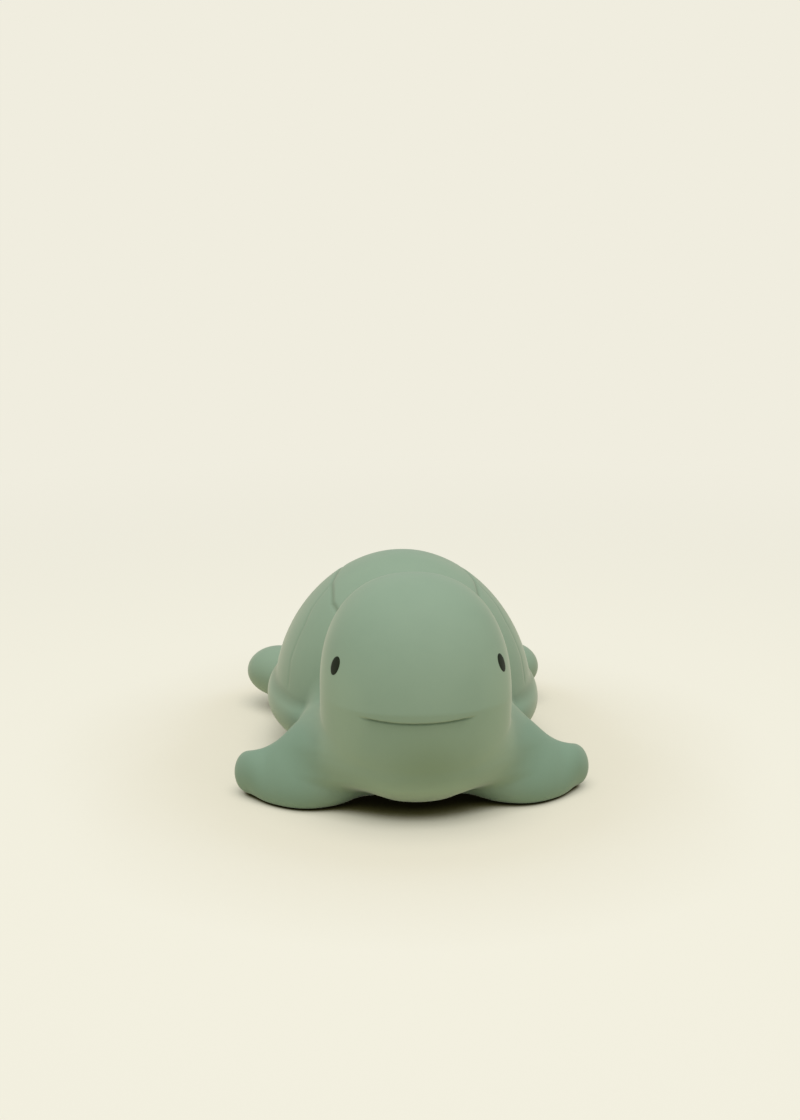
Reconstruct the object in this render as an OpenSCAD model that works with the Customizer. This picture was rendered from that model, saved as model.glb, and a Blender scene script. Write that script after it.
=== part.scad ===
// Squeaky bath toy: a hollow natural-rubber sea turtle with a reed squeaker plugged into its belly.
// Sizes are in millimetres. The snout points to -Y, +Z is up, and the origin is on the floor
// under the middle of the toy.

/* [Rubber skin] */
// Thickness of the moulded rubber wall
wall = 3; // [2.4:0.1:3.6]
// How far the shell can be pressed down
squeeze_travel = 8; // [4:0.5:9]

/* [Shell] */
// Width of the domed shell at its rim
shell_width = 74; // [66:0.2:78]
// Reach of the shell in front of its crown
shell_front = 40; // [36:0.5:44]
// Reach of the shell behind its crown
shell_back = 44; // [40:0.5:50]
// Rise of the crown above the base of the dome
shell_rise = 39.8; // [36:0.2:46]
// Height of the base of the dome above the floor
shell_base = 17.5; // [17:0.1:19]
// Height of the rim, where the shell's foldable flank begins
rim_level = 20.5; // [20:0.1:22]
// Height of the marginal groove above the rim
margin_rise = 1.7; // [1.4:0.1:5]
// Radius of the engraved scute grooves
groove_radius = 0.9; // [0.6:0.05:1.2]
// Depth of the engraved scute grooves
groove_depth = 0.4; // [0.3:0.05:0.8]

/* [Belly and flanks] */
// Width across the flank ledges
belly_width = 78.4; // [74:0.2:88]
// Reach of the belly in front of the crown
belly_front = 45; // [41:0.5:49]
// Reach of the belly behind the crown
belly_back = 48; // [45:0.5:52]
// Height of the widest level of the flanks
belly_level = 15; // [14:0.1:16]
// Rise of the flank ledge above its widest level
ledge_rise = 8.5; // [7.5:0.1:10]
// Slice taken off the round belly to make the flat it rests on
belly_flat_cut = 0.9; // [0.6:0.05:1.5]

/* [Head] */
// Width of the head
head_width = 50; // [44:0.2:54]
// Distance of the head's middle in front of the crown
head_reach = 48.5; // [46:0.5:52]
// Reach of the snout in front of the head's middle
snout_reach = 24.5; // [21:0.5:28]
// Reach of the nape behind the head's middle
nape_reach = 20; // [18:0.5:23]
// Height of the widest level of the head
head_level = 31; // [30:0.1:33]
// Rise of the forehead above the widest level
head_rise = 28.6; // [25:0.2:32]
// Distance by which the brow leans back at the top of the head
head_lean = 8; // [5:0.2:9]
// Drop of the chest below the widest level
chest_drop = 27.8; // [26:0.1:30]
// Width of the nape collar around the head's outline
collar_width = 0.8; // [0.5:0.1:1.2]
// Clearance between the nape collar and the sliding shell
collar_gap = 0.25; // [0.2:0.05:0.5]

/* [Face] */
// Diameter of a painted eye
eye_diameter = 4.6; // [3.4:0.1:6]
// Depth of the eye's seat in the skin
eye_seat = 0.6; // [0.4:0.05:0.9]
// How far the paint stands proud of the skin
eye_proud = 0.12; // [0.05:0.01:0.3]
// Width of the bevel around the paint's edge
eye_bevel = 0.4; // [0.2:0.05:0.8]
// Length of the mouth crease across the face
mouth_width = 28.6; // [22:0.2:36]
// Drop of the mouth crease below the head's widest level
mouth_drop = 2.1; // [1:0.1:6]
// Rise of the mouth's corners above its middle
mouth_smile = 0.3; // [0:0.1:2]
// Offset of the mouth's middle from the middle plane
mouth_shift = -1.5; // [-3:0.1:3]
// Radius of the mouth crease
mouth_radius = 0.8; // [0.5:0.05:1.1]
// Depth of the chin hollow under the lip
chin_depth = 0.8; // [0.5:0.05:1.2]
// Radius of the chin hollow
chin_radius = 9; // [7:0.5:12]

/* [Front flippers] */
// Reach of a front flipper's tip from the middle plane
front_span = 47.8; // [45:0.2:54]
// Distance of the front flippers in front of the crown
front_reach = 45; // [42:0.5:47]
// Length of a front flipper from its leading to its trailing edge
front_chord = 30; // [27:0.5:34]
// Thickness of a front flipper at the shoulder
front_thickness = 14.4; // [12:0.2:16]

/* [Rear flippers and tail] */
// Reach of a rear flipper's tip from the middle plane
rear_span = 46.5; // [44:0.2:52]
// Distance of the rear flippers behind the crown
rear_reach = 41; // [39:0.5:44]
// Length of a rear flipper from its leading to its trailing edge
rear_chord = 23; // [19:0.5:26]
// Thickness of a rear flipper
rear_thickness = 14; // [12:0.2:15]
// Width of the tail stub
tail_width = 12; // [9:0.5:15]
// Length of the tail stub
tail_length = 12; // [9:0.5:14]
// Thickness of the tail stub
tail_thickness = 10; // [8:0.5:11]
// Height of the middle of the tail stub
tail_level = 9; // [8:0.5:11]

/* [Squeaker barrel] */
// Outer diameter of the barrel
barrel_diameter = 14.4; // [13:0.1:16]
// Height of the barrel above the flange's underside
barrel_height = 17; // [16:0.5:20]
// Wall of the barrel
barrel_wall = 1.4; // [1.1:0.1:1.6]
// Thickness of the barrel's floor
barrel_floor = 1.6; // [1.2:0.1:2.2]
// Diameter of the outer flange
flange_diameter = 21; // [19:0.2:23]
// Thickness of the outer flange
flange_thickness = 1.35; // [1:0.05:1.8]
// How far the flange sits inside the belly flat
flange_inset = 0.15; // [0.1:0.05:0.4]
// Diameter of the snap bead above the belly wall
snap_diameter = 17; // [16.6:0.1:18.5]
// Height of the snap bead
snap_height = 1.4; // [1:0.1:2]
// Diameter of the air outlet
outlet_diameter = 3.2; // [2.4:0.1:4]
// Thickness of the belly boss that the barrel grips
boss_thickness = 4.4; // [4:0.1:5.5]
// Clearance of the plugged fits
fit_gap = 0.15; // [0.1:0.05:0.25]

/* [Squeaker cap] */
// Thickness of the perforated cap
cap_thickness = 1.2; // [0.9:0.1:1.6]
// Width of the step that the cap sits on
cap_step = 0.6; // [0.4:0.05:0.8]
// Diameter of the cap's air holes
cap_hole_diameter = 1.9; // [1.4:0.1:2.2]
// Number of air holes around the cap
cap_hole_count = 6; // [5:1:7]

/* [Reed] */
// Height of the reed block's plug
plug_height = 3.4; // [3:0.1:4]
// Diameter of the reed block's post
post_diameter = 6.4; // [5.8:0.1:7]
// Height of the post above the plug
post_height = 8.6; // [7.6:0.1:9]
// Width of the air channel in the post
channel_width = 1.8; // [1.4:0.1:2.2]
// Width of the reed
reed_width = 3.4; // [2.8:0.1:3.8]
// Thickness of the reed
reed_thickness = 0.2; // [0.15:0.01:0.3]
// Length of the reed above the plug
reed_length = 8; // [6.5:0.1:8.2]
// Depth of the reed's root in the plug
root_depth = 2; // [1.6:0.1:2.4]
// Clearance on each side of the reed's root
root_gap = 0.18; // [0.15:0.01:0.25]
// Depth by which the post is cut back under the free reed
post_relief = 0.45; // [0.3:0.05:0.6]
// Height of the unrelieved land above the plug
land_height = 0.6; // [0.4:0.1:1]
// Thickness of the wedge that locks the reed
wedge_thickness = 1.6; // [1.2:0.1:1.9]
// How far the wedge stands above the plug
wedge_proud = 1; // [0.6:0.1:1.4]

/* [Hidden] */

// Facets around a large form, between its poles, around a bead of a flipper and around a groove
form_turns = 40;
form_bands = 18;
cavity_turns = 24;
cavity_bands = 10;
bead_facets = 20;
groove_facets = 8;
round_facets = 64;

// Roundness powers of the large forms: plan outline, upper profile, lower profile
shell_powers = [2.2, 1.85, 2];
belly_powers = [2.1, 2.2, 2];
head_powers = [2.3, 2.3, 3];

// Flipper beads from breast or hip to tip: place across, along and up, then half-sizes in the same order,
// as shares of span, chord and thickness
front_bead_shares = [
    [0.251, -0.059, 0.66, 0.209, 0.4, 0.521],
    [0.188, 0.121, 0.694, 0.167, 0.433, 0.521],
    [0.335, 0.208, 0.799, 0.188, 0.5, 0.66],
    [0.475, 0.061, 0.764, 0.192, 0.497, 0.569],
    [0.628, -0.049, 0.611, 0.153, 0.39, 0.41],
    [0.787, 0.011, 0.458, 0.092, 0.277, 0.306],
    [0.885, 0.121, 0.417, 0.073, 0.19, 0.368],
    [0.931, 0.195, 0.396, 0.069, 0.177, 0.264]
];
rear_bead_shares = [
    [0.624, -0.3, 0.786, 0.194, 0.5, 0.52],
    [0.725, -0.12, 0.786, 0.194, 0.5, 0.5],
    [0.796, 0, 0.786, 0.194, 0.456, 0.46]
];
// Tilts of the same beads, which lift the flippers' trailing edges
front_tilts = [16, 22, 28, 35, 39, 42, 44, 44];
rear_tilts = [0, 0, 0];
tail_sink_share = 0.29;
// Part of a form's lean that shows behind its plan outline
lean_share = 0.28;

// Scute seams in the shell's plan: across as shares of half its width, along as shares of its reach
ridge_shares = [[0.4, -0.82], [0.52, -0.5], [0.56, -0.38], [0.555, -0.11], [0.5, 0.1], [0.43, 0.31],
    [0.5, 0.48], [0.36, 0.68], [0.22, 0.86]];
cross_shares = [[0.43, 0.31], [0.36, 0.68]];
side_shares = [[[0.555, -0.11], [0.77, -0.3]], [[0.77, -0.3], [0.9, -0.46]], [[0.5, 0.48], [0.84, 0.5]],
    [[0.36, 0.68], [0.5, 0.82]]];
seam_steps = 3;
margin_steps = 36;

// Places of the main forms along the body
rear_end = rear_reach + rear_bead_shares[2][4] * rear_chord;
tail_end = belly_back + tail_length * (0.5 - tail_sink_share);
crown_y = (head_reach + snout_reach - max(rear_end, tail_end)) / 2;
head_y = crown_y - head_reach;
belly_y = crown_y + (belly_back - belly_front) / 2;
belly_half = (belly_front + belly_back) / 2;
tail_y = crown_y + belly_back - tail_sink_share * tail_length;
shell_top = shell_base + shell_rise;

// Large forms: middle, reach to front and back, half width, rise, drop, powers and backward lean
shell_drop = shell_base - belly_level + wall;
shell_form = [[0, crown_y, shell_base], shell_front, shell_back, shell_width / 2, shell_rise, shell_drop,
    shell_powers, 0];
belly_form = [[0, belly_y, belly_level], belly_half, belly_half, belly_width / 2, ledge_rise,
    belly_level + belly_flat_cut, belly_powers, 0];
head_form = [[0, head_y, head_level], snout_reach, nape_reach, head_width / 2, head_rise, chest_drop,
    head_powers, head_lean];

// Levels of the cuts between the skin's three zones
fold_level = rim_level - squeeze_travel - collar_gap;
zone_size = shell_width + head_reach + belly_back;

// Squeaker levels
squeaker_y = belly_y;
seat_level = flange_inset + flange_thickness;
bore_level = flange_inset + barrel_floor;
bore_radius = barrel_diameter / 2 - barrel_wall;
plug_radius = bore_radius - fit_gap;
plug_top = bore_level + plug_height;
barrel_top = flange_inset + barrel_height;
cap_radius = bore_radius + cap_step;
flat_y = wedge_thickness / 2 - root_gap - reed_thickness;
reed_y = flat_y + root_gap;
wedge_y = reed_y + reed_thickness + root_gap;
root_slot = wedge_y + wedge_thickness - flat_y;

// Signed power, for rounded-box outlines
function spow(v, n) = sign(v) * pow(abs(v), n);

// Point of a large form at plan angle a and height angle b, drawn in by an inset
function form_point(f, inset, a, b) =
    let (n = b > 0 ? f[6][1] : f[6][2],
        out = pow(abs(cos(b)), 2 / n),
        along = (sin(a) > 0 ? f[2] : f[1]) - inset,
        high = (b > 0 ? f[4] : f[5]) - inset,
        up = spow(sin(b), 2 / n))
    f[0] + [(f[3] - inset) * out * spow(cos(a), 2 / f[6][0]),
        along * out * spow(sin(a), 2 / f[6][0]) + f[7] * max(0, up), high * up];

// Turn of a form's ring in steps: none at the widest level, half a step on every second ring
function half_turn(j) = (j + form_bands / 2) % 2 / 2;

// Share of a form's plan outline that a place takes up: 0 in the middle, 1 at the outline
function plan_share(f, x, y) =
    let (n = f[6][0], along = y > f[0][1] ? f[2] : f[1])
    pow(pow(abs(x) / f[3], n) + pow(abs(y - f[0][1]) / along, n), 1 / n);

// Height of a form's upper face above a place in plan
function top_height(f, x, y) =
    f[0][2] + f[4] * pow(max(0, 1 - pow(plan_share(f, x, y), f[6][1])), 1 / f[6][1]);

// Front face of the head at a place across and a height
function face_y(x, z) =
    let (n = z > head_level ? head_powers[1] : head_powers[2],
        high = z > head_level ? head_rise : chest_drop,
        ring = pow(max(0, 1 - pow(abs(z - head_level) / high, n)), head_powers[0] / n),
        left = max(0, ring - pow(abs(x) / (head_width / 2), head_powers[0])))
    head_y - snout_reach * pow(left, 1 / head_powers[0]) + head_lean * max(0, z - head_level) / head_rise;

// Place along the shell for a share of its reach
function shell_y(t) = crown_y + t * (t > 0 ? shell_back : shell_front);

// Place on the shell for plan shares, raised so that a groove bead cuts to its depth
function seam_point(s) =
    let (x = s[0] * shell_width / 2, y = shell_y(s[1]))
    [x, y, top_height(shell_form, x, y) + groove_radius - groove_depth];

// Place on the marginal groove at plan angle a
margin_angle = asin(pow((rim_level + margin_rise - shell_base) / shell_rise, shell_powers[1] / 2));
function margin_point(a) = form_point(shell_form, groove_depth - groove_radius, a, margin_angle);

// Closed rounded form as a polyhedron of bands between two poles, every second ring turned by half a step
module form(f, inset, turns, bands) {
    rings = [for (j = [1:bands - 1], i = [0:turns - 1])
        form_point(f, inset, 360 * (i + half_turn(j)) / turns, 180 * j / bands - 90)];
    last = turns * (bands - 1);
    points = concat(rings, [f[0] - [0, 0, f[5] - inset]], [f[0] + [0, f[7], f[4] - inset]]);
    lower = [for (i = [0:turns - 1]) [last, i, (i + 1) % turns]];
    upper = [for (i = [0:turns - 1]) [last + 1, last - turns + (i + 1) % turns, last - turns + i]];
    sides = [for (j = [0:bands - 3], i = [0:turns - 1], k = [0, 1])
        let (a = j * turns + i, b = j * turns + (i + 1) % turns, turned = half_turn(j + 1) > 0)
        k == 0 ? [a, turned ? b + turns : a + turns, b] :
            turned ? [a, a + turns, b + turns] : [b, a + turns, b + turns]];
    polyhedron(points, concat(lower, sides, upper), convexity = 4);
}

// One rounded bead of a flipper or of the tail, tilted about the line across the body
module bead(place, half, tilt) {
    translate(place)
        rotate([tilt, 0, 0])
            scale(half)
                sphere(1, $fn = bead_facets);
}

module flipper_bead(s, tilt, y, span, chord, thick) {
    bead([s[0] * span, y + s[1] * chord, s[2] * thick], [s[3] * span, s[4] * chord, s[5] * thick], tilt);
}

// Flipper on the +X side, swept through its beads
module flipper(shares, tilts, y, span, chord, thick) {
    for (i = [0:len(shares) - 2])
        hull() {
            flipper_bead(shares[i], tilts[i], y, span, chord, thick);
            flipper_bead(shares[i + 1], tilts[i + 1], y, span, chord, thick);
        }
}

module both_sides() {
    children();
    mirror([1, 0, 0])
        children();
}

module limbs() {
    both_sides() {
        flipper(front_bead_shares, front_tilts, crown_y - front_reach, front_span, front_chord,
            front_thickness);
        flipper(rear_bead_shares, rear_tilts, crown_y + rear_reach, rear_span, rear_chord, rear_thickness);
    }
    bead([0, tail_y, tail_level], [tail_width, tail_length, tail_thickness] / 2, 0);
}

// Outside of the trunk: belly with its flank ledges, shell and head
module trunk() {
    form(belly_form, 0, form_turns, form_bands);
    form(shell_form, 0, form_turns, form_bands);
    form(head_form, 0, form_turns, form_bands);
}

// Air chamber inside the skin, with a boss left on the belly for the squeaker
module chamber() {
    difference() {
        union() {
            form(belly_form, wall, cavity_turns, cavity_bands);
            form(shell_form, wall, cavity_turns, cavity_bands);
            form(head_form, wall, cavity_turns, cavity_bands);
        }
        translate([0, squeaker_y, 0])
            cylinder(h = boss_thickness, r = flange_diameter / 2 + wall, $fn = round_facets);
    }
}

// Column over a form's plan outline, from a height upwards
module plan_column(f, grow, from) {
    translate([0, f[0][1], from])
        linear_extrude(zone_size)
            polygon([for (i = [0:form_turns - 1])
                let (a = 360 * i / form_turns, along = sin(a) > 0 ? f[2] + lean_share * f[7] : f[1])
                [(f[3] + grow) * spow(cos(a), 2 / f[6][0]), (along + grow) * spow(sin(a), 2 / f[6][0])]]);
}

// Column that parts the head and nape from the shell
module head_column() {
    plan_column(head_form, collar_width, -wall);
}

// Flippers and tail, kept clear of the well that the shell is pressed into
module outer_limbs() {
    difference() {
        limbs();
        difference() {
            plan_column(shell_form, collar_gap, fold_level);
            head_column();
        }
    }
}

// Everything between two heights
module layer(from, to) {
    translate([-zone_size, -zone_size, from])
        cube([2 * zone_size, 2 * zone_size, to - from]);
}

// Groove bead run along a line of places
module groove(places, radius, facets) {
    for (i = [0:len(places) - 2])
        hull() {
            translate(places[i])
                sphere(radius, $fn = facets);
            translate(places[i + 1])
                sphere(radius, $fn = facets);
        }
}

module seam(a, b) {
    groove([for (k = [0:seam_steps]) seam_point(a + (b - a) * k / seam_steps)], groove_radius,
        groove_facets);
}

module scute_grooves() {
    both_sides() {
        for (i = [0:len(ridge_shares) - 2])
            seam(ridge_shares[i], ridge_shares[i + 1]);
        for (s = side_shares)
            seam(s[0], s[1]);
    }
    for (s = cross_shares)
        seam([-s[0], s[1]], s);
    groove([for (i = [0:margin_steps]) margin_point(360 * i / margin_steps)], groove_radius,
        groove_facets);
}

mouth_steps = 10;
// Share of the chin hollow's depth that is lost at the mouth's corners
chin_fade_share = 1.5;
chin_drop = sqrt(chin_radius * chin_radius - pow(chin_radius - chin_depth, 2));

// Place on the face along the mouth's line, from -1 at one corner to 1 at the other, and a drop below it
function mouth_point(k, drop) =
    let (x = mouth_shift + k * mouth_width / 2, z = head_level - mouth_drop + mouth_smile * k * k - drop)
    [x, face_y(x, z), z];

// Level direction out of the face at a place
function face_way(at) =
    let (n = head_powers[0] - 1, half = head_width / 2, ahead = (head_y - at[1]) / snout_reach,
        way = [spow(at[0] / half, n) / half, -pow(ahead, n) / snout_reach, 0])
    way / norm(way);

module mouth_crease() {
    groove([for (i = [0:mouth_steps]) mouth_point(2 * i / mouth_steps - 1, 0)], mouth_radius,
        groove_facets);
}

// Shallow hollow that lets the upper lip stand out over the chin
module chin_hollow() {
    groove([for (i = [0:mouth_steps])
        let (k = 2 * i / mouth_steps - 1, at = mouth_point(k, chin_drop),
            depth = chin_depth * (1 - chin_fade_share * k * k))
        at + (chin_radius - depth) * face_way(at)], chin_radius, bead_facets);
}

// Eye places on the side of the face, as shares of half the head's width and of its rise
eye_side_share = 0.86;
eye_rise_share = 0.33;
eye_x = eye_side_share * head_width / 2;
eye_z = head_level + eye_rise_share * head_rise;
eye_y = face_y(eye_x, eye_z);
eye_ahead = head_y + head_lean * eye_rise_share - eye_y;
eye_slope_y = -pow(eye_ahead / snout_reach, head_powers[0] - 1) / snout_reach;
eye_slope = [pow(eye_side_share, head_powers[0] - 1) / (head_width / 2), eye_slope_y,
    pow(eye_rise_share, head_powers[1] - 1) / head_rise - eye_slope_y * head_lean / head_rise];
eye_turn = atan2(eye_slope[1], eye_slope[0]);
eye_tilt = acos(eye_slope[2] / norm(eye_slope));

module at_eye() {
    translate([eye_x, eye_y, eye_z])
        rotate([0, eye_tilt, eye_turn])
            children();
}

module eye_seats() {
    both_sides()
        at_eye()
            translate([0, 0, -eye_seat])
                cylinder(h = eye_seat + wall, r = eye_diameter / 2 + fit_gap, $fn = round_facets);
}

// Paint dot: a disc with a bevelled edge
module eye() {
    at_eye() {
        translate([0, 0, -eye_seat])
            cylinder(h = eye_seat, r = eye_diameter / 2);
        cylinder(h = eye_proud, r1 = eye_diameter / 2, r2 = eye_diameter / 2 - eye_bevel);
    }
}

// Belly opening that the squeaker is plugged into
module squeaker_seat() {
    translate([0, squeaker_y, -wall])
        cylinder(h = wall + seat_level, r = flange_diameter / 2 + fit_gap, $fn = round_facets);
    translate([0, squeaker_y, 0])
        cylinder(h = boss_thickness + wall, r = barrel_diameter / 2 + fit_gap, $fn = round_facets);
}

module body_skin() {
    color([0.52, 0.63, 0.54])
        difference() {
            union() {
                intersection() {
                    trunk();
                    union() {
                        layer(-wall, fold_level);
                        head_column();
                    }
                }
                outer_limbs();
            }
            chamber();
            layer(-zone_size, 0);
            mouth_crease();
            chin_hollow();
            eye_seats();
            squeaker_seat();
        }
}

module shell_fold() {
    color([0.5, 0.6, 0.51])
        difference() {
            intersection() {
                trunk();
                layer(fold_level, rim_level);
            }
            chamber();
            head_column();
            outer_limbs();
        }
}

module carapace() {
    color([0.53, 0.64, 0.55])
        difference() {
            intersection() {
                trunk();
                layer(rim_level + collar_gap / 2, zone_size);
            }
            chamber();
            plan_column(head_form, collar_width + collar_gap, -wall);
            scute_grooves();
        }
}

module left_eye() {
    color([0.13, 0.13, 0.1])
        eye();
}

module right_eye() {
    color([0.13, 0.13, 0.1])
        mirror([1, 0, 0])
            eye();
}

module squeaker_barrel() {
    color([0.9, 0.89, 0.85])
        translate([0, squeaker_y, 0])
            difference() {
                union() {
                    translate([0, 0, flange_inset])
                        cylinder(h = flange_thickness, r = flange_diameter / 2);
                    translate([0, 0, flange_inset])
                        cylinder(h = barrel_height, r = barrel_diameter / 2);
                    translate([0, 0, boss_thickness])
                        cylinder(h = snap_height, r1 = snap_diameter / 2, r2 = barrel_diameter / 2);
                }
                translate([0, 0, bore_level])
                    cylinder(h = barrel_height, r = bore_radius);
                translate([0, 0, barrel_top - cap_thickness])
                    cylinder(h = barrel_height, r = cap_radius);
                cylinder(h = barrel_height, r = outlet_diameter / 2);
            }
}

module squeaker_cap() {
    hole_ring = bore_radius - cap_hole_diameter / 2 - cap_step;
    color([0.86, 0.85, 0.8])
        translate([0, squeaker_y, barrel_top - cap_thickness])
            difference() {
                cylinder(h = cap_thickness, r = cap_radius - fit_gap / 2);
                for (i = [0:cap_hole_count - 1])
                    rotate(360 * i / cap_hole_count)
                        translate([hole_ring, 0, -cap_thickness])
                            cylinder(h = 3 * cap_thickness, r = cap_hole_diameter / 2);
            }
}

// Plug and half-round post with an air channel, cut back under the free part of the reed
module reed_block() {
    slot_width = reed_width + 2 * root_gap;
    color([0.78, 0.8, 0.82])
        translate([0, squeaker_y, bore_level])
            difference() {
                union() {
                    cylinder(h = plug_height, r = plug_radius);
                    cylinder(h = plug_height + post_height, r = post_diameter / 2);
                }
                translate([-post_diameter, flat_y, plug_height])
                    cube([2 * post_diameter, post_diameter, 2 * post_height]);
                translate([-post_diameter, flat_y - post_relief, plug_height + land_height])
                    cube([2 * post_diameter, post_diameter, 2 * post_height]);
                translate([-slot_width / 2, flat_y, plug_height - root_depth])
                    cube([slot_width, root_slot, 2 * root_depth]);
                translate([-channel_width / 2, flat_y - channel_width, plug_height + land_height])
                    cube([channel_width, post_diameter, reed_length - 2 * land_height]);
                translate([0, flat_y - channel_width / 2, -plug_height])
                    cylinder(h = 2 * plug_height + 2 * land_height, r = channel_width / 2 - root_gap);
            }
}

module reed() {
    color([0.8, 0.66, 0.36])
        translate([-reed_width / 2, squeaker_y + reed_y, plug_top - root_depth + root_gap])
            cube([reed_width, reed_thickness, root_depth - root_gap + reed_length]);
}

module reed_wedge() {
    color([0.55, 0.57, 0.6])
        translate([-reed_width / 2, squeaker_y + wedge_y, plug_top - root_depth])
            cube([reed_width, wedge_thickness, root_depth + wedge_proud]);
}

body_skin();
shell_fold();
carapace();
left_eye();
right_eye();
squeaker_barrel();
squeaker_cap();
reed_block();
reed();
reed_wedge();
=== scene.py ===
"""Hollow rubber bath turtle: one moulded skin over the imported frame, painted eyes and the plug-in squeaker.
Shapes are worked out in millimetres and handed to Blender in metres."""
import math

import bmesh
import bpy
import numpy as np
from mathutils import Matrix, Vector


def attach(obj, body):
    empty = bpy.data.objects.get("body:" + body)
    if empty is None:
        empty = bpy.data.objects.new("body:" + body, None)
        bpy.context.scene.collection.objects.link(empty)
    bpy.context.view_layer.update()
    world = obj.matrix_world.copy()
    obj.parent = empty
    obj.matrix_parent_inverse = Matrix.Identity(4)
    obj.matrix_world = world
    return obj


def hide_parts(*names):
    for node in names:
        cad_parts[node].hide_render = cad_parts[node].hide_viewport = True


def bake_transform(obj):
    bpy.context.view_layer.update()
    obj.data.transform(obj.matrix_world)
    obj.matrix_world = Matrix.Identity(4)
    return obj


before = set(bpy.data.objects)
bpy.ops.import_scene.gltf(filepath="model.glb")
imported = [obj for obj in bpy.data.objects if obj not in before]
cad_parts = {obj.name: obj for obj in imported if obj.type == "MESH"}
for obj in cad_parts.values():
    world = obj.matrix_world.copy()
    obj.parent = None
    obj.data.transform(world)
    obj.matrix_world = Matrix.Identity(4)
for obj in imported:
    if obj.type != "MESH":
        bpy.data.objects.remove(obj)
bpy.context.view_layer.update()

MM = 0.001
TINY = 1e-6

# Grid that the skin is first laid out on, for the +X side, and how its quads are evened out
GRID = 0.55
GRID_LOW, GRID_HIGH = (0.0, -64.5, -1.5), (51.0, 63.5, 61.0)
RELAX_ROUNDS, RELAX_SHARE = 5, 0.6
SLOPE_STEP, LEAST_STEEP, MOST_MOVE = 0.03, 0.2, 0.6

# Large forms: middle, reach to front and back, half width, rise, drop, powers in plan, above and below, lean
SHELL = dict(mid=(0, 10.756, 17.5), front=40, back=44, half=37, rise=39.5, drop=5.5,
             plan=2.2, up=1.85, down=2.0, lean=0)
BELLY = dict(mid=(0, 12.256, 15), front=46.5, back=46.5, half=39.3, rise=14.5, drop=15.9,
             plan=2.1, up=2.4, down=2.0, lean=0)
HEAD = dict(mid=(0, -37.744, 31), front=24.5, back=20, half=25, rise=28.6, drop=28.4,
            plan=2.3, up=2.3, down=3.0, lean=8)
LEAN_STOP, LEAST_SLOPE = 1.2, 1e-4

# Ledge under the shell: how fast it falls towards the head, and its least height
LEDGE_FALL, LEDGE_LEAST = 0.14, 8.0

# Breast: how much it narrows, and between which heights
BREAST_TAPER, TAPER_SPAN = 0.22, (20, 4)

# Beads from shoulder to tip: place, half sizes across, along and up, and the tilt that lifts the trailing edge
FRONT_BEADS = [
    (9.0, -30.4, 10.2, 8.0, 13.0, 7.5, 22),
    (16.0, -28.0, 11.5, 9.0, 15.0, 9.5, 28),
    (22.7, -32.4, 11.0, 9.2, 14.9, 8.2, 35),
    (30.0, -35.7, 8.8, 7.3, 11.7, 5.9, 39),
    (37.6, -33.9, 6.6, 4.4, 8.3, 4.4, 42),
    (42.3, -30.6, 6.0, 3.5, 5.7, 5.3, 44),
    (44.5, -28.4, 5.7, 3.3, 5.3, 3.8, 44),
]
REAR_BEADS = [
    (29.0, 44.9, 9.8, 9.0, 11.5, 7.1, 0),
    (33.7, 49.0, 10.4, 9.0, 11.5, 7.3, 0),
    (37.0, 51.756, 10.8, 9.0, 10.49, 7.0, 0),
]
TAIL = (0, 55.28, 9.0, 6.0, 6.0, 5.0, 0)
FRONT_STEPS, REAR_STEPS = 5, 4
FRONT_REACH, REAR_REACH, FAR_AWAY = 14, 8, 30.0
BEAD_CORE = 0.2

# Widths over which neighbouring forms flow into each other
RIM_FLOW, NECK_FLOW, CHEST_FLOW, BEAD_FLOW = 1.1, 2.0, 14.0, 1.0
NOTCH_FLOW, SHOULDER_FLOW, REAR_FLOW, FLOOR_FLOW = 2.5, 9.0, 3.0, 1.2

# Where the two wide flows set in: the shoulder's along and across, the chest's from above and from below
SHOULDER_ALONG, SHOULDER_ACROSS = (-6, -22), (35, 26)
CHEST_ABOVE, CHEST_BELOW = (28, 15), (2, 10)

# Belly recess that the squeaker's flange sits in
RECESS_Y, RECESS_RADIUS, RECESS_TOP, RECESS_FLOW = 12.256, 10.65, 1.5, 0.5


def smooth_step(a, b, x):
    """Rises softly from 0 at a to 1 at b."""
    t = np.clip((x - a) / (b - a), 0, 1)
    return t * t * (3 - 2 * t)


def zone(*fades):
    """Product of soft steps, each given as a pair of ends and the measure that runs between them."""
    out = 1.0
    for ends, x in fades:
        out = out * smooth_step(*ends, x)
    return out


def mirrored(p):
    """Places folded onto the +X side."""
    return np.concatenate([np.abs(p[..., :1]), p[..., 1:]], -1)


def form_distance(p, f):
    """First-order distance to a rounded form, negative inside."""
    x, y, z = p[..., 0], p[..., 1] - f["mid"][1], p[..., 2] - f["mid"][2]
    above = z > 0
    high = np.where(above, f["rise"], f["drop"])
    n = np.where(above, f["up"], f["down"])
    zs = np.abs(z) / high
    y = y - f["lean"] * np.where(above, np.minimum(zs, LEAN_STOP), 0)
    along = np.where(y > 0, f["back"], f["front"])
    q = f["plan"]
    xs, ys = np.abs(x) / f["half"], np.abs(y) / along
    r = np.maximum((xs ** q + ys ** q) ** (1 / q), TINY)
    g = np.maximum((r ** n + zs ** n) ** (1 / n), TINY)
    gr, gz = (r / g) ** (n - 1), (zs / g) ** (n - 1)
    gx = gr * (xs / r) ** (q - 1) / f["half"]
    gy = gr * (ys / r) ** (q - 1) / along
    gl = gz / high - np.where(above, np.sign(y) * gy * f["lean"] / high, 0)
    return (g - 1) / np.maximum(np.sqrt(gx * gx + gy * gy + gl * gl), LEAST_SLOPE)


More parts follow.
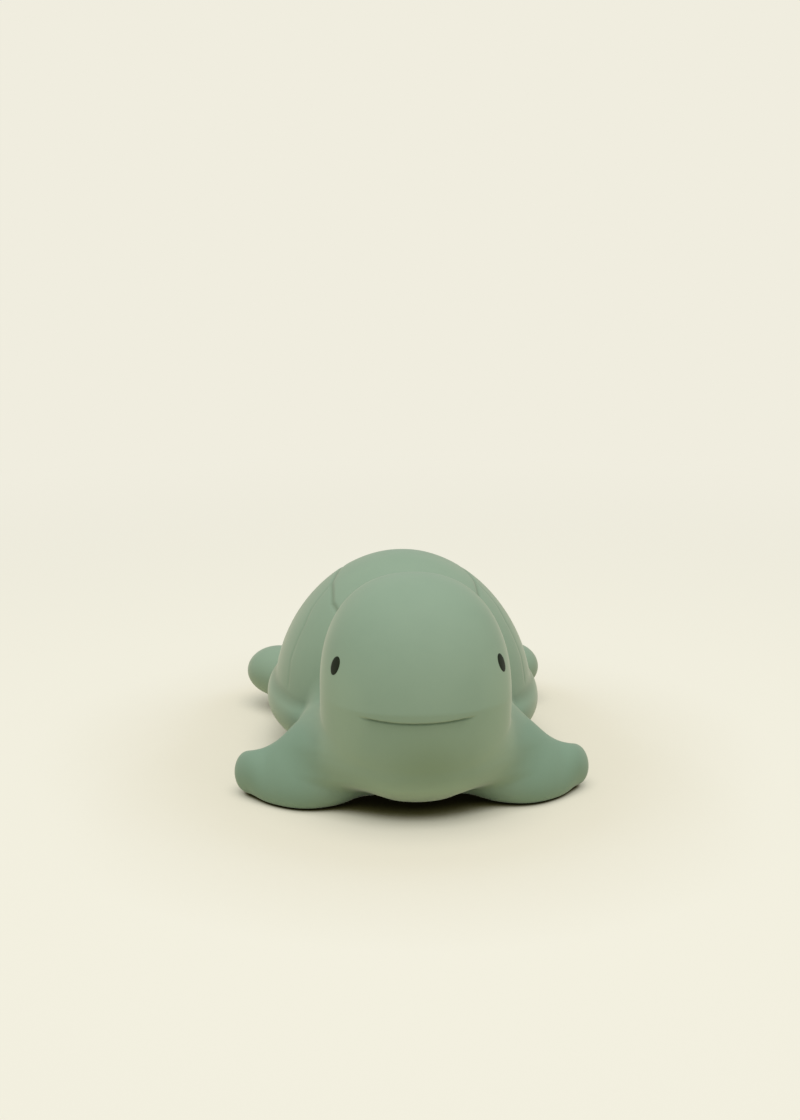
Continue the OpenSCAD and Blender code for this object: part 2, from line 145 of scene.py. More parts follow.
def bead_distance(p, bead):
    """Distance to a tilted ellipsoid, negative inside."""
    half = np.asarray(bead[3:6], float)
    q = p - np.asarray(bead[:3], float)
    c, s = math.cos(math.radians(bead[6])), math.sin(math.radians(bead[6]))
    q = np.stack([q[..., 0], c * q[..., 1] + s * q[..., 2], c * q[..., 2] - s * q[..., 1]], -1) / half
    k0 = np.sqrt((q * q).sum(-1))
    k1 = np.sqrt(((q / half) ** 2).sum(-1))
    return np.where(k0 < BEAD_CORE, -half.min() * (1 - k0), k0 * (k0 - 1) / np.maximum(k1, TINY))


def flow_min(a, b, k):
    """Joins two forms with a hollow curve of width k."""
    h = np.maximum(k - np.abs(a - b), 0) / k
    return np.minimum(a, b) - h * h * k * 0.25


def flow_max(a, b, k):
    """Keeps what two forms share, with a rounded edge of width k."""
    return -flow_min(-a, -b, k)


def spline(beads, steps):
    """Beads along a smooth line through the given ones."""
    v = np.array(beads, float)
    v = np.vstack([2 * v[0] - v[1], v, 2 * v[-1] - v[-2]])
    out = []
    for a, b, c, d in zip(v, v[1:], v[2:], v[3:]):
        for t in np.linspace(0, 1, steps, endpoint=False):
            square = (2 * a - 5 * b + 4 * c - d) * t * t
            cube = (3 * b - a - 3 * c + d) * t ** 3
            out.append(0.5 * (2 * b + (c - a) * t + square + cube))
    out.append(v[-2])
    return np.array(out)


FRONT_CHAIN = spline(FRONT_BEADS, FRONT_STEPS)
REAR_CHAIN = spline(REAR_BEADS, REAR_STEPS)


def chain_distance(p, chain, reach):
    """Distance to a row of beads, worked out only within reach of it."""
    size = chain[:, 3:6].max(1, keepdims=True)
    lo, hi = (chain[:, :3] - size).min(0) - reach, (chain[:, :3] + size).max(0) + reach
    out = np.full(p.shape[:-1], FAR_AWAY)
    near = np.all((p > lo) & (p < hi), axis=-1)
    if near.any():
        q = p[near]
        d = bead_distance(q, chain[0])
        for bead in chain[1:]:
            d = flow_min(d, bead_distance(q, bead), BEAD_FLOW)
        out[near] = d
    return out


def belly_distance(p):
    """Belly and flanks, with a ledge under the shell that falls away towards the head."""
    rise = np.clip(BELLY["rise"] + LEDGE_FALL * (p[..., 1] - BELLY["mid"][1]), LEDGE_LEAST, BELLY["rise"])
    return form_distance(p, dict(BELLY, rise=rise))


def head_distance(p):
    """Head and breast, with a breast that narrows towards the floor."""
    narrow = 1 + BREAST_TAPER * smooth_step(*TAPER_SPAN, p[..., 2])
    return form_distance(np.stack([p[..., 0] * narrow, p[..., 1], p[..., 2]], -1), HEAD)


def skin_distance(p):
    """Distance to the outside of the rubber skin, the same on both sides of the middle plane."""
    p = mirrored(p)
    x, y, z = p[..., 0], p[..., 1], p[..., 2]
    d = flow_min(belly_distance(p), form_distance(p, SHELL), RIM_FLOW)
    front = NOTCH_FLOW + (SHOULDER_FLOW - NOTCH_FLOW) * zone((SHOULDER_ALONG, y), (SHOULDER_ACROSS, x))
    d = flow_min(d, chain_distance(p, FRONT_CHAIN, FRONT_REACH), front)
    neck = NECK_FLOW + CHEST_FLOW * zone((CHEST_ABOVE, z), (CHEST_BELOW, z))
    d = flow_min(d, head_distance(p), neck)
    d = flow_min(d, chain_distance(p, REAR_CHAIN, REAR_REACH), REAR_FLOW)
    d = flow_min(d, bead_distance(p, TAIL), REAR_FLOW)
    d = flow_max(d, -z, FLOOR_FLOW)
    pit = flow_max(np.hypot(x, y - RECESS_Y) - RECESS_RADIUS, z - RECESS_TOP, RECESS_FLOW)
    return flow_max(d, -pit, RECESS_FLOW)


def slope(p):
    """Direction in which the distance to the skin grows."""
    g = np.empty_like(p)
    for i in range(3):
        e = np.zeros(3)
        e[i] = SLOPE_STEP
        g[:, i] = skin_distance(p + e) - skin_distance(p - e)
    return g / (2 * SLOPE_STEP)


def onto_skin(p, rounds=2):
    """Places moved along the slope until they lie on the skin."""
    for _ in range(rounds):
        g = slope(p)
        move = skin_distance(p) / np.maximum((g * g).sum(1), LEAST_STEEP)
        p = p - np.clip(move, -MOST_MOVE, MOST_MOVE)[:, None] * g
    return p


def surface_nets(v, low, h):
    """Quads over the zero level of a grid of distances."""
    core = tuple(n - 1 for n in v.shape)
    corner = {}
    for i in (0, 1):
        for j in (0, 1):
            for k in (0, 1):
                corner[i, j, k] = v[i:i + core[0], j:j + core[1], k:k + core[2]]
    inside = sum((c < 0).astype(np.int8) for c in corner.values())
    active = (inside > 0) & (inside < 8)
    cells = np.argwhere(active)
    index = np.full(core, -1, np.int64)
    index[active] = np.arange(len(cells))
    total, count = np.zeros((len(cells), 3)), np.zeros(len(cells))
    for a in corner:
        for axis in range(3):
            if a[axis]:
                continue
            b = tuple(1 if n == axis else a[n] for n in range(3))
            va, vb = corner[a][active], corner[b][active]
            cross = (va < 0) != (vb < 0)
            at = np.tile(np.array(a, float), (len(cells), 1))
            at[:, axis] += va / np.where(cross, va - vb, 1)
            total[cross] += at[cross]
            count[cross] += 1
    points = np.array(low) + h * (cells + total / count[:, None])
    quads = []
    for axis in range(3):
        u, w = (axis + 1) % 3, (axis + 2) % 3
        first = [slice(None)] * 3
        second = [slice(None)] * 3
        first[axis], second[axis] = slice(0, -1), slice(1, None)
        a, b = v[tuple(first)] < 0, v[tuple(second)] < 0
        hit = np.argwhere(a != b)
        keep = (hit[:, u] > 0) & (hit[:, w] > 0) & (hit[:, u] < core[u]) & (hit[:, w] < core[w])
        hit = hit[keep]
        flip = a[tuple(hit.T)]
        ring = []
        for du, dw in ((-1, -1), (0, -1), (0, 0), (-1, 0)):
            c = hit.copy()
            c[:, u] += du
            c[:, w] += dw
            ring.append(index[tuple(c.T)])
        q = np.stack(ring, 1)
        q[~flip] = q[~flip][:, ::-1]
        quads.append(q)
    return points, np.concatenate(quads)


def relaxed(p, quads):
    """Evens out the quads while they stay on the skin."""
    a, b = quads.ravel(), np.roll(quads, -1, 1).ravel()
    n = np.bincount(a, minlength=len(p)) + np.bincount(b, minlength=len(p))
    for _ in range(RELAX_ROUNDS):
        mean = np.empty_like(p)
        for i in range(3):
            mean[:, i] = np.bincount(a, p[b, i], len(p)) + np.bincount(b, p[a, i], len(p))
        p = onto_skin(p + RELAX_SHARE * (mean / n[:, None] - p), 1)
    return p


def skin_quads():
    """Quads of the whole skin, from one side's grid and its mirror image."""
    axes = [np.arange(math.ceil((b - a) / GRID) + 1) * GRID + a for a, b in zip(GRID_LOW, GRID_HIGH)]
    half = np.empty([len(a) for a in axes], np.float32)
    yz = np.stack(np.meshgrid(axes[1], axes[2], indexing="ij"), -1)
    for i, x in enumerate(axes[0]):
        p = np.concatenate([np.full(yz.shape[:2] + (1,), x), yz], -1)
        half[i] = skin_distance(p)
    grid = np.concatenate([half[:0:-1], half])
    p, quads = surface_nets(grid, (-axes[0][-1], GRID_LOW[1], GRID_LOW[2]), GRID)
    return relaxed(onto_skin(p), quads), quads


# Scute seams in the shell's plan: across as shares of half its width, along as shares of its reach
RIDGE = [
    (0.4, -0.82), (0.52, -0.5), (0.56, -0.38), (0.555, -0.11), (0.5, 0.1),
    (0.43, 0.31), (0.5, 0.48), (0.36, 0.68), (0.22, 0.86), (0.16, 0.95),
]
CROSS = [(0.43, 0.31), (0.36, 0.68)]
SIDE = [(0.555, -0.11), (0.72, -0.22), (0.77, -0.3), (0.88, -0.38), (0.9, -0.46)]
SIDE_BACK = [((0.5, 0.48), (0.84, 0.5)), ((0.36, 0.68), (0.5, 0.82))]
SEAM_WIDTH, SEAM_DEPTH, SEAM_POINTS, SEAM_TRACE = 0.7, 0.36, 7, 0.01
SIDE_SHARE, KINK_SHARE = 0.32, 0.5

# Heights of the shell's rim and of the seams' lower ends, and how the seams run out there
RIM_LEVEL, SEAM_FOOT, SEAM_FADE, LEAST_SIDE = 18.8, 22.2, (-0.5, 1.5), 0.05

# Distances over which a place stops being shell, head or crease, and the share of painted shade along the rim
# crease
RIM_FADE, SHELL_EDGE, HEAD_EDGE, CREASE_EDGE, RIM_SHADE = 1, (0.35, 0.1), (0.5, 2.5), (1.6, 0.4), 0.7


def seam_lines():
    """Scute seams as short straight pieces on the shell, on the +X side."""
    lines = [(a, b, 1.0) for a, b in zip(RIDGE, RIDGE[1:])] + [((0, c[1]), c, 1.0) for c in CROSS]
    lines += [(a, b, SIDE_SHARE) for a, b in list(zip(SIDE, SIDE[1:])) + SIDE_BACK]
    lines += [(SIDE[1], SIDE[2], KINK_SHARE)]
    plan, up = SHELL["plan"], SHELL["up"]
    pieces = []
    for a, b, share in lines:
        t = np.linspace(0, 1, SEAM_POINTS)[:, None]
        s = np.array(a) + (np.array(b) - np.array(a)) * t
        x = s[:, 0] * SHELL["half"]
        y = SHELL["mid"][1] + s[:, 1] * np.where(s[:, 1] > 0, SHELL["back"], SHELL["front"])
        r = (s[:, 0] ** plan + np.abs(s[:, 1]) ** plan) ** (1 / plan)
        z = SHELL["mid"][2] + SHELL["rise"] * np.maximum(0, 1 - r ** up) ** (1 / up)
        q = np.stack([x, y, z], 1)
        pieces += [(c, d, share) for c, d in zip(q[:-1], q[1:])]
    return pieces


SEAMS = seam_lines()


def seam_groove(p):
    """How far into a scute seam each place is: 1 in the middle of a full seam, 0 away from all of them."""
    q = mirrored(p)
    best = np.zeros(len(q))
    for a, b, share in SEAMS:
        d = b - a
        t = np.clip(((q - a) @ d) / (d @ d), 0, 1)
        away = np.linalg.norm(q - a - t[:, None] * d, axis=1)
        best = np.maximum(best, share * np.exp(-(away / SEAM_WIDTH) ** 2))
    return best


# Mouth: height of its line, rise of the corners, half width and middle, and how far its ends fade out and in
MOUTH_LEVEL, MOUTH_SMILE, MOUTH_HALF, MOUTH_MIDDLE = 28.9, 1.0, 14.2, -1.2
CORNER_OUT, CORNER_IN = 1.0, 3.0

# Lower lip: step back from the upper one, how it fades downwards, and the cut between them
LIP_STEP, LIP_EDGE, LIP_FADE = 0.8, (0.15, -0.35), 11.0
CUT_DROP, CUT_WIDTH, CUT_DEPTH = 0.25, 0.3, 0.4

# Bands around the mouth's line that get a finer mesh
MOUTH_BAND, LIP_BAND, MOUTH_ASIDE = 1.6, 0.9, 1.5


def mouth_rise(p):
    """Height above the mouth's line."""
    k = (p[:, 0] - MOUTH_MIDDLE) / MOUTH_HALF
    return p[:, 2] - (MOUTH_LEVEL + MOUTH_SMILE * k * k)


def mouth_aside(p):
    return np.abs(p[:, 0] - MOUTH_MIDDLE)


def on_face(p):
    return p[:, 1] < HEAD["mid"][1]


def off_head(q):
    """How clearly a place is not on the head."""
    return smooth_step(*HEAD_EDGE, form_distance(q, HEAD))


def on_shell(p):
    """How surely a place on the skin belongs to the domed shell."""
    q = mirrored(p)
    edge = smooth_step(*SHELL_EDGE, form_distance(q, SHELL))
    return edge * off_head(q) * smooth_step(RIM_LEVEL - RIM_FADE, RIM_LEVEL, p[:, 2])


def rim_crease(p):
    """How near each place is to the crease between the shell and the ledge."""
    q = mirrored(p)
    away = np.abs(form_distance(q, SHELL)) + np.abs(belly_distance(q))
    return smooth_step(*CREASE_EDGE, away) * off_head(q)


def detail(p, n):
    """Height of the engraved details along the skin's normal, and the painted shade that darkens the seams, the
    rim crease and the mouth's cut.
    """
    side = np.sqrt(np.maximum(1 - n[:, 2] ** 2, LEAST_SIDE))
    groove = on_shell(p) * seam_groove(p) * smooth_step(*SEAM_FADE, (p[:, 2] - SEAM_FOOT) / side)
    rise = mouth_rise(p)
    face = smooth_step(MOUTH_HALF + CORNER_OUT, MOUTH_HALF - CORNER_IN, mouth_aside(p)) * on_face(p)
    below = smooth_step(*LIP_EDGE, rise) * np.exp(np.minimum(rise, 0) / LIP_FADE)
    cut = np.exp(-((rise + CUT_DROP) / CUT_WIDTH) ** 2)
    out = -SEAM_DEPTH * groove - face * (LIP_STEP * below + CUT_DEPTH * cut)
    # painted shade: the seams, the rim crease and the mouth's cut are darkened in the rubber's colour
    hollow = np.maximum(np.maximum(groove, RIM_SHADE * rim_crease(p)), face * cut)
    return out, hollow


# Zones of painted shade and painted light in the rubber's colour, as pairs of places between which each one fades
# in
LIMB_ACROSS, LIMB_ALONG, LIMB_UP = (20, 32), (-10, -22), (24, 18)
BREAST_ACROSS, BREAST_ALONG, BREAST_UP = (18, 9), (-38, -46), (14, 6)
CHEEK_IN, CHEEK_OUT, CHEEK_TOP, CHEEK_FOOT, CHEEK_BACK = (12, 21), (27, 24), (46, 34), (10, 20), (16, 2)
FLANK_ACROSS, FLANK_FRONT, FLANK_BACK, FLANK_UP = (22, 29), (-26, -17), (34, 16), (18, 9)
THROAT_X, THROAT_Z, THROAT_WIDE, THROAT_HIGH = 2, 17, 11, 8
SIDE_TONE = 0.7


def painted_light_and_shade(p):
    """How much painted shade each place takes on the limbs and under the mouth, and how much painted light on the
    breast with its cheeks and flanks.
    """
    aside, y, z = np.abs(p[:, 0]), p[:, 1], p[:, 2]
    # painted shade on the flippers
    painted_limb_shade = zone((LIMB_ACROSS, aside), (LIMB_ALONG, y), (LIMB_UP, z))
    # painted shade with a warm bounce below the mouth
    painted_throat_shade = np.exp(-((p[:, 0] - THROAT_X) / THROAT_WIDE) ** 2 - ((z - THROAT_Z) / THROAT_HIGH) ** 2) * on_face(p)
    # painted light on the lower breast, widened with the cheeks and lower flanks
    breast = zone((BREAST_UP, z), (BREAST_ACROSS, aside), (BREAST_ALONG, y))
    cheek = zone((CHEEK_IN, aside), (CHEEK_OUT, aside), (CHEEK_TOP, z), (CHEEK_FOOT, z))
    cheek = cheek * smooth_step(*CHEEK_BACK, y - HEAD["mid"][1])
    flank = zone((FLANK_ACROSS, aside), (FLANK_UP, z), (FLANK_FRONT, y), (FLANK_BACK, y))
    return dict(painted_limb_shade=painted_limb_shade, painted_throat_shade=painted_throat_shade, breast=np.maximum(breast, SIDE_TONE * np.maximum(cheek, flank)))


def finer(bm, centre_test):
    """Halves the edges of the faces that a test picks."""
    bm.faces.ensure_lookup_table()
    mid = np.array([f.calc_center_median() for f in bm.faces])
    edges = dict.fromkeys(e for f, k in zip(bm.faces, centre_test(mid)) if k for e in f.edges)
    bmesh.ops.subdivide_edges(bm, edges=list(edges), cuts=1, use_grid_fill=True)


def near_mouth(p):
    return (np.abs(mouth_rise(p)) < MOUTH_BAND) & (mouth_aside(p) < MOUTH_HALF + MOUTH_ASIDE) & on_face(p)


def near_lip(p):
    return near_mouth(p) & (np.abs(mouth_rise(p)) < LIP_BAND)


def near_seam(p):
    return (seam_groove(p) > SEAM_TRACE) & (p[:, 2] > SEAM_FOOT)


def add_object(name, data):
    obj = bpy.data.objects.new(name, data)
    bpy.context.scene.collection.objects.link(obj)
    return obj


def add_smooth(name, mesh):
    """Object with smooth shading on all its faces."""
    mesh.polygons.foreach_set("use_smooth", [True] * len(mesh.polygons))
    mesh.update()
    return add_object(name, mesh)


def build_skin():
    """The moulded skin: even quads, finer ones at mouth and seams, engraved details, painted crease shade, and
    zones of painted shade and light.
    """
    p, quads = skin_quads()
    mesh = bpy.data.meshes.new("rubber_skin")
    mesh.from_pydata(p.tolist(), [], quads.tolist())
    bm = bmesh.new()
    bm.from_mesh(mesh)
    for test in (near_mouth, near_lip, near_seam):
        finer(bm, test)
    bm.to_mesh(mesh)
    bm.free()
    p = np.empty(len(mesh.vertices) * 3)
    mesh.vertices.foreach_get("co", p)
    p = onto_skin(p.reshape(-1, 3))
    n = slope(p)
    n /= np.linalg.norm(n, axis=1, keepdims=True)
    height, hollow = detail(p, n)
    mesh.vertices.foreach_set("co", ((p + height[:, None] * n) * MM).ravel())
    for name, share in dict(hollow=hollow, **painted_light_and_shade(p)).items():
        mesh.attributes.new(name, "FLOAT", "POINT").data.foreach_set("value", share.astype(np.float32))
    return add_smooth("rubber_skin", mesh)


# Eyes: place across and up, half sizes, how far the paint stands out and reaches in, and the mesh of each dot
EYE_PLACE, EYE_WIDTH, EYE_HEIGHT = (21.3, 40.3), 1.9, 2.45
EYE_PROUD, EYE_CLEAR, EYE_SINK, EYE_EDGE = 0.12, 0.015, 0.35, 6
EYE_RINGS, EYE_TURNS = 9, 48


def face_y(x, z):
    """Where the face lies along the toy at a place given across and up."""
    f = HEAD
    above = z > f["mid"][2]
    n, high = (f["up"], f["rise"]) if above else (f["down"], f["drop"])
    ring = max(0, 1 - (abs(z - f["mid"][2]) / high) ** n) ** (f["plan"] / n)
    left = max(0, ring - (abs(x) / f["half"]) ** f["plan"])
    return f["mid"][1] - f["front"] * left ** (1 / f["plan"]) + f["lean"] * max(0, z - f["mid"][2]) / f["rise"]


def build_eye(name, sign):
    """Thin paint dot that follows the skin, with a soft raised edge."""
    centre = onto_skin(np.array([(sign * EYE_PLACE[0], face_y(*EYE_PLACE), EYE_PLACE[1])]))
    n = slope(centre)[0]
    n /= np.linalg.norm(n)
    u = np.cross((0, 0, 1), n)
    u /= np.linalg.norm(u)
    v = np.cross(n, u)
    turns = EYE_TURNS
    a = np.arange(turns) * 2 * math.pi / turns
    ring = EYE_WIDTH * np.cos(a)[:, None] * u + EYE_HEIGHT * np.sin(a)[:, None] * v
    shares = [math.sin(0.5 * math.pi * i / EYE_RINGS) for i in range(1, EYE_RINGS + 1)] + [1.0]
    rows = []
    for i, s in enumerate(shares):
        lift = -EYE_SINK if i == EYE_RINGS else EYE_PROUD * (1 - s ** EYE_EDGE) + EYE_CLEAR
        rows.append(onto_skin(centre + s * ring, 3) + lift * n)
    top, foot = centre[0] + (EYE_PROUD + EYE_CLEAR) * n, centre[0] - EYE_SINK * n
    points = [top] + [q for r in rows for q in r] + [foot]
    faces = [(0, 1 + i, 1 + (i + 1) % turns) for i in range(turns)]
    for r in range(len(rows) - 1):
        a, b = 1 + r * turns, 1 + (r + 1) * turns
        faces += [(a + i, b + i, b + (i + 1) % turns, a + (i + 1) % turns) for i in range(turns)]
    last, end = 1 + (len(rows) - 1) * turns, len(points) - 1
    faces += [(end, last + (i + 1) % turns, last + i) for i in range(turns)]
    mesh = bpy.data.meshes.new(name)
    mesh.from_pydata((np.array(points) * MM).tolist(), [], faces)
    return add_smooth(name, mesh)


def linear(rgb):
    """Colour written in 0 to 255 display values, as the shader takes it."""
    out = [(c / 255 / 12.92) if c <= 10 else ((c / 255 + 0.055) / 1.055) ** 2.4 for c in rgb]
    return (*out, 1.0)


def material(name):
    m = bpy.data.materials.new(name)
    m.use_nodes = True
    return m, m.node_tree.nodes, m.node_tree.links, m.node_tree.nodes["Principled BSDF"]


def object_place(nodes):
    return nodes.new("ShaderNodeTexCoord").outputs["Object"]


def noise(nodes, links, where, scale, detail_level=3.0, rough=0.55):
    t = nodes.new("ShaderNodeTexNoise")
    t.inputs["Scale"].default_value = scale
    t.inputs["Detail"].default_value = detail_level
    t.inputs["Roughness"].default_value = rough
    links.new(where, t.inputs["Vector"])
    return t.outputs["Fac"]


def ramp(nodes, links, fac, stops):
    r = nodes.new("ShaderNodeValToRGB")
    while len(r.color_ramp.elements) < len(stops):
        r.color_ramp.elements.new(0.5)
    for e, (at, col) in zip(r.color_ramp.elements, stops):
        e.position, e.color = at, col
    links.new(fac, r.inputs["Fac"])
    return r.outputs["Color"]


# Levels of a noise at which a two-tone colour reaches its darker and its lighter end
TONE_LOW, TONE_HIGH = 0.3, 0.7


def two_tone(nodes, links, fac, low, high):
    return ramp(nodes, links, fac, [(TONE_LOW, linear(low)), (TONE_HIGH, linear(high))])


def scaled(nodes, links, value, low, high):
    m = nodes.new("ShaderNodeMapRange")
    m.inputs["To Min"].default_value = low
    m.inputs["To Max"].default_value = high
    links.new(value, m.inputs["Value"])
    return m.outputs["Result"]


def mixed(nodes, links, fac, a, b):
    m = nodes.new("ShaderNodeMix")
    m.data_type = "RGBA"
    for socket, value in (("Factor", fac), (6, a), (7, b)):
        if isinstance(value, tuple):
            m.inputs[socket].default_value = value
        else:
            links.new(value, m.inputs[socket])
    return m.outputs[2]


def bumped(nodes, links, shader, height, strength, distance):
    b = nodes.new("ShaderNodeBump")
    b.inputs["Strength"].default_value = strength
    b.inputs["Distance"].default_value = distance
    links.new(height, b.inputs["Height"])
    links.new(b.outputs["Normal"], shader.inputs["Normal"])


# Rubber tones: darker and lighter mottling, the dusty bloom, and for each zone of painted shade or light its
# strongest share and colour
RUBBER_LOW, RUBBER_HIGH = (134, 158, 137), (140, 163, 142)
BLOOM, BLOOM_SHARE = (156, 175, 153), 0.22
PAINTED_SHADE_AND_LIGHT = [
    # painted shade in the seams, along the rim crease and in the mouth's cut
    ("hollow", 0.4, (98, 113, 90)),
    # painted shade on the flippers
    ("painted_limb_shade", 0.9, (124, 151, 131)),
    # painted shade with a warm bounce below the mouth
    ("painted_throat_shade", 0.8, (127, 148, 121)),
    # painted light on the lower breast, cheeks and lower flanks
    ("breast", 0.9, (152, 175, 152)),
]


def rubber():
    """Matte natural rubber: soft mottling, a dusty bloom, painted shade in creases, on the flippers and under the
    mouth, painted light on the breast, cheeks and flanks, and a fine moulded grain.
    """
    m, nodes, links, shader = material("sage_rubber")
    where = object_place(nodes)
    base = two_tone(nodes, links, noise(nodes, links, where, 45, 2.0), RUBBER_LOW, RUBBER_HIGH)
    dust = noise(nodes, links, where, 420, 4.0, 0.65)
    base = mixed(nodes, links, scaled(nodes, links, dust, 0.0, BLOOM_SHARE), base, linear(BLOOM))
    for name, share, tone in PAINTED_SHADE_AND_LIGHT:
        mark = nodes.new("ShaderNodeAttribute")
        mark.attribute_name = name
        base = mixed(nodes, links, scaled(nodes, links, mark.outputs["Fac"], 0.0, share), base, linear(tone))
    links.new(base, shader.inputs["Base Color"])
    links.new(scaled(nodes, links, dust, 0.62, 0.8), shader.inputs["Roughness"])
    shader.inputs["Specular IOR Level"].default_value = 0.35
    shader.inputs["Sheen Weight"].default_value = 0.37
    shader.inputs["Sheen Tint"].default_value = (1.0, 0.95, 0.86, 1.0)
    shader.inputs["Sheen Roughness"].default_value = 0.33
    bumped(nodes, links, shader, noise(nodes, links, where, 2200, 3.0, 0.6), 0.12, 0.00012)
    return m


def paint():
    m, nodes, links, shader = material("eye_paint")
    speck = noise(nodes, links, object_place(nodes), 1800)
    links.new(two_tone(nodes, links, speck, (26, 34, 20), (36, 44, 27)), shader.inputs["Base Color"])
    links.new(scaled(nodes, links, speck, 0.42, 0.6), shader.inputs["Roughness"])
    shader.inputs["Specular IOR Level"].default_value = 0.14
    bumped(nodes, links, shader, speck, 0.08, 0.0001)
    return m


def plastic(name, low, high, rough, spread=0.06):
    m, nodes, links, shader = material(name)
    where = object_place(nodes)
    cloud = noise(nodes, links, where, 260)
    links.new(two_tone(nodes, links, cloud, low, high), shader.inputs["Base Color"])
    links.new(scaled(nodes, links, cloud, rough - spread, rough + spread), shader.inputs["Roughness"])
    bumped(nodes, links, shader, noise(nodes, links, where, 3000, 2.0), 0.06, 0.0001)
    return m


def brass():
    m, nodes, links, shader = material("reed_brass")
    grain = noise(nodes, links, object_place(nodes), 900, 4.0)
    links.new(two_tone(nodes, links, grain, (184, 150, 84), (214, 180, 108)), shader.inputs["Base Color"])
    links.new(scaled(nodes, links, grain, 0.25, 0.4), shader.inputs["Roughness"])
    shader.inputs["Metallic"].default_value = 1.0
    return m


skin = build_skin()
skin.data.materials.append(rubber())
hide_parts("body_skin", "shell_fold", "carapace")
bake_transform(skin)

dark = paint()
for name, sign in (("left_eye", 1), ("right_eye", -1)):
    eye = build_eye(name + "_paint", sign)
    eye.data.materials.append(dark)
    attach(eye, "body")
    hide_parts(name)

FINISH = {
    "squeaker_barrel": plastic("squeaker_white", (226, 223, 212), (236, 233, 224), 0.42),
    "squeaker_cap": plastic("squeaker_cap_white", (220, 217, 206), (230, 227, 218), 0.45),
    "reed_block": plastic("reed_block_grey", (188, 194, 198), (204, 208, 212), 0.4),
    "reed_wedge": plastic("reed_wedge_grey", (132, 138, 146), (148, 154, 160), 0.4),
    "reed": brass(),
}
for name, finish in FINISH.items():
    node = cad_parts[name]
    if node.material_slots:
        node.material_slots[0].material = finish
    else:
        node.data.materials.append(finish)

# Stage: a pale floor that runs out into the same pale tone, with a painted contact shadow that darkens it only
# where the toy is close to it
BACK_TONE = linear((240, 237, 223))
BOUNCE_TONE = linear((241, 228, 198))
FLOOR_HALF, FADE_NEAR, FADE_FAR = 6.0, 0.12, 0.55
# Painted contact shadow: an occlusion ramp runs from near-black where the toy touches to the backdrop tone and
# sets the floor's colour and glow; SHADOW_LIFT is the least share of that glow near the toy, where it stands in
# for part of the rendered shadow
CONTACT_REACH, CONTACT_SAMPLES, SHADOW_LIFT = 0.07, 32, 0.55
CONTACT_SHADOW_TONES = [
    (0.1, linear((14, 13, 5))),
    (0.2, linear((72, 70, 40))),
    (0.36, linear((200, 197, 178))),
    (0.56, linear((225, 221, 203))),
    (0.86, linear((230, 225, 207))),
    (1.0, BACK_TONE),
]

# Light: the sky's tone and strength, and one large lamp overhead
SKY_TONE, SKY_STRENGTH = (0.94, 1.0, 0.985, 1.0), 0.47
LAMP_PLACE, LAMP_AIM, LAMP_SIZE, LAMP_WATTS = (0.0, -0.1, 0.95), (0, 0, 0.02), 0.8, 6.6
LAMP_TONE = (1.0, 0.955, 0.893)

# Camera: its place as seen from the toy, how far it looks down and aside, and its lens as pixels of the frame
AZIMUTH, ELEVATION, DISTANCE = -4.1, 19.0, 0.480
LOOK_DOWN, LOOK_ASIDE = 12.354, -3.915
SENSOR, FOCAL_PIXELS, FRAME_PIXELS = 36.0, 1656, 1120
CLIP_NEAR, CLIP_FAR = 0.01, 30


def either_ray(nodes, links, first, second):
    """1 for the two kinds of ray that are named, 0 for all others."""
    path = nodes.new("ShaderNodeLightPath")
    seen = nodes.new("ShaderNodeMath")
    seen.operation = "MAXIMUM"
    links.new(path.outputs[first], seen.inputs[0])
    links.new(path.outputs[second], seen.inputs[1])
    return seen.outputs["Value"]


def shaded(nodes, links, fac, first, second, target):
    """Sends a mix of two shaders to the output node."""
    both = nodes.new("ShaderNodeMixShader")
    links.new(fac, both.inputs["Fac"])
    links.new(first, both.inputs[1])
    links.new(second, both.inputs[2])
    links.new(both.outputs["Shader"], nodes[target].inputs["Surface"])


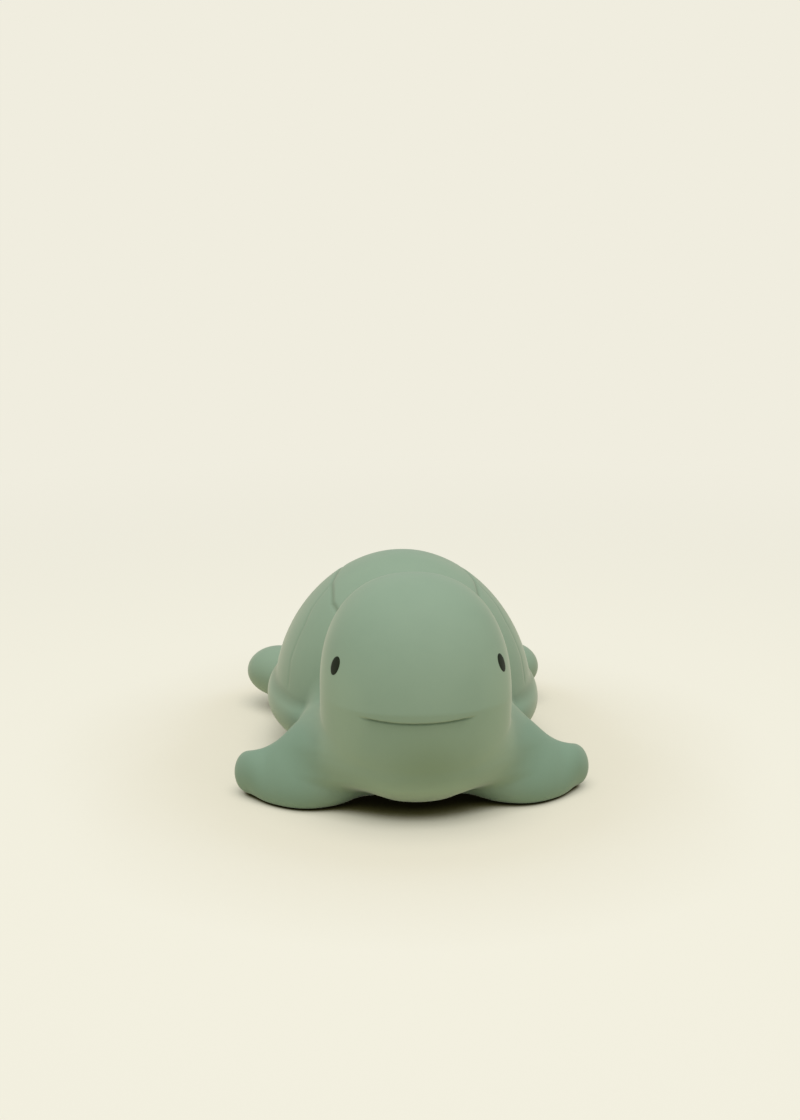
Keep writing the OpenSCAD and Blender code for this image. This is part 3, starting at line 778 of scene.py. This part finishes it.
def floor_material():
    m, nodes, links, shader = material("pale_floor")
    shader.inputs["Roughness"].default_value = 0.9
    shader.inputs["Specular IOR Level"].default_value = 0.0
    glow = nodes.new("ShaderNodeEmission")
    far = nodes.new("ShaderNodeVectorMath")
    far.operation = "LENGTH"
    links.new(object_place(nodes), far.inputs[0])
    fade = nodes.new("ShaderNodeMapRange")
    fade.interpolation_type = "SMOOTHSTEP"
    fade.inputs["From Min"].default_value = FADE_NEAR
    fade.inputs["From Max"].default_value = FADE_FAR
    links.new(far.outputs["Value"], fade.inputs["Value"])
    seen = either_ray(nodes, links, "Is Camera Ray", "Is Glossy Ray")
    crevice = nodes.new("ShaderNodeAmbientOcclusion")
    crevice.samples = CONTACT_SAMPLES
    crevice.inputs["Distance"].default_value = CONTACT_REACH
    # painted contact shadow: the occlusion ramp's tone becomes the floor's glow and, for camera and glossy rays,
    # its colour
    painted_contact_shadow = ramp(nodes, links, crevice.outputs["AO"], CONTACT_SHADOW_TONES)
    links.new(painted_contact_shadow, glow.inputs["Color"])
    links.new(mixed(nodes, links, seen, BOUNCE_TONE, painted_contact_shadow), shader.inputs["Base Color"])
    fac = nodes.new("ShaderNodeMath")
    fac.operation = "MULTIPLY"
    links.new(scaled(nodes, links, fade.outputs["Result"], SHADOW_LIFT, 1.0), fac.inputs[0])
    links.new(seen, fac.inputs[1])
    shaded(nodes, links, fac.outputs["Value"], shader.outputs["BSDF"], glow.outputs["Emission"], "Material Output")
    return m


def add_floor():
    mesh = bpy.data.meshes.new("floor")
    s = FLOOR_HALF
    mesh.from_pydata([(-s, -s, 0), (s, -s, 0), (s, s, 0), (-s, s, 0)], [], [(0, 1, 2, 3)])
    mesh.materials.append(floor_material())
    add_object("floor", mesh)


def add_world():
    """Even sky light, with the pale tone where the camera looks past the floor."""
    world = bpy.data.worlds.new("studio")
    bpy.context.scene.world = world
    world.use_nodes = True
    nodes, links = world.node_tree.nodes, world.node_tree.links
    sky = nodes["Background"]
    sky.inputs["Color"].default_value = SKY_TONE
    sky.inputs["Strength"].default_value = SKY_STRENGTH
    back = nodes.new("ShaderNodeBackground")
    back.inputs["Color"].default_value = BACK_TONE
    seen = either_ray(nodes, links, "Is Camera Ray", "Is Transmission Ray")
    shaded(nodes, links, seen, sky.outputs["Background"], back.outputs["Background"], "World Output")


def add_lamp():
    lamp = bpy.data.lights.new("overhead", "AREA")
    lamp.shape, lamp.size, lamp.energy, lamp.color = "DISK", LAMP_SIZE, LAMP_WATTS, LAMP_TONE
    obj = add_object("overhead", lamp)
    obj.location = LAMP_PLACE
    obj.rotation_euler = (Vector(LAMP_AIM) - Vector(LAMP_PLACE)).to_track_quat("-Z", "Y").to_euler()


def add_camera():
    a, e = math.radians(AZIMUTH), math.radians(ELEVATION)
    cam = bpy.data.cameras.new("camera")
    cam.sensor_fit, cam.sensor_height, cam.sensor_width = "VERTICAL", SENSOR, SENSOR
    cam.lens = SENSOR * FOCAL_PIXELS / FRAME_PIXELS
    cam.clip_start, cam.clip_end = CLIP_NEAR, CLIP_FAR
    obj = add_object("camera", cam)
    obj.location = DISTANCE * Vector((math.sin(a) * math.cos(e), -math.cos(a) * math.cos(e), math.sin(e)))
    obj.rotation_euler = (math.radians(90 - LOOK_DOWN), 0, math.radians(LOOK_ASIDE))
    bpy.context.scene.camera = obj


add_floor()
add_world()
add_lamp()
add_camera()
bpy.context.scene.view_settings.view_transform = "Standard"
